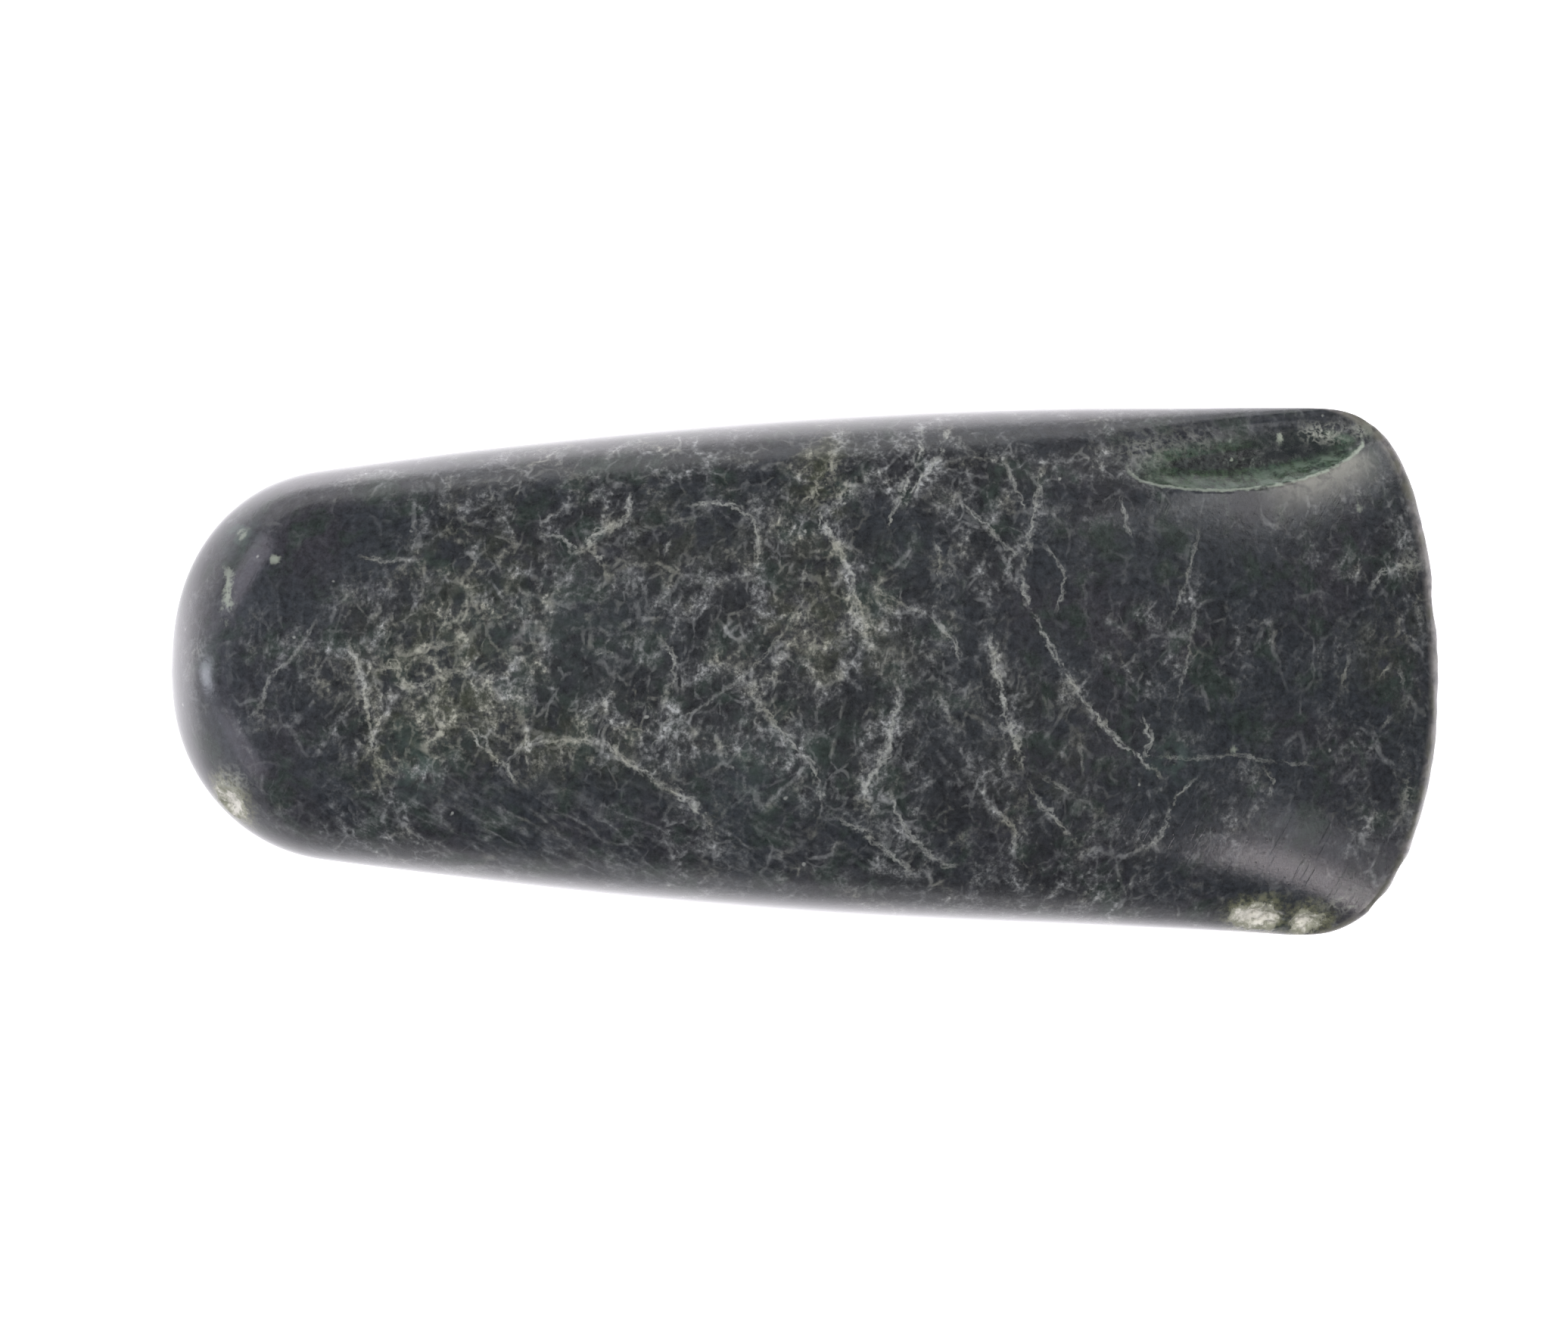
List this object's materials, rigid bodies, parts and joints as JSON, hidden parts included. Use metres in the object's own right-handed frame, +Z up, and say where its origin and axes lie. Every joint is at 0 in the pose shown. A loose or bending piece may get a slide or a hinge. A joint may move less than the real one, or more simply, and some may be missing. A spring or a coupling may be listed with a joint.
{
  "type": "polished stone axe head",
  "caption": "Loose polished greenstone axe head with a narrow rounded poll, broad curved cutting edge and an old flake scar, lying on its face.",
  "frame": {"origin": "centre of the bounding box at its lowest face, on the ground flat that the stone lies on", "axes": "+X along the stone towards the cutting edge, +Z up out of the upper broad face, +Y across to the flank with the flake scar"},
  "size_m": [0.12, 0.05, 0.0266],
  "materials": {
    "stone": "polished dark greenstone with fine grey and olive veins and a few chalky chips"
  },
  "bodies": {
    "root": {"axe_head": "stone"}
  },
  "joints": []
}
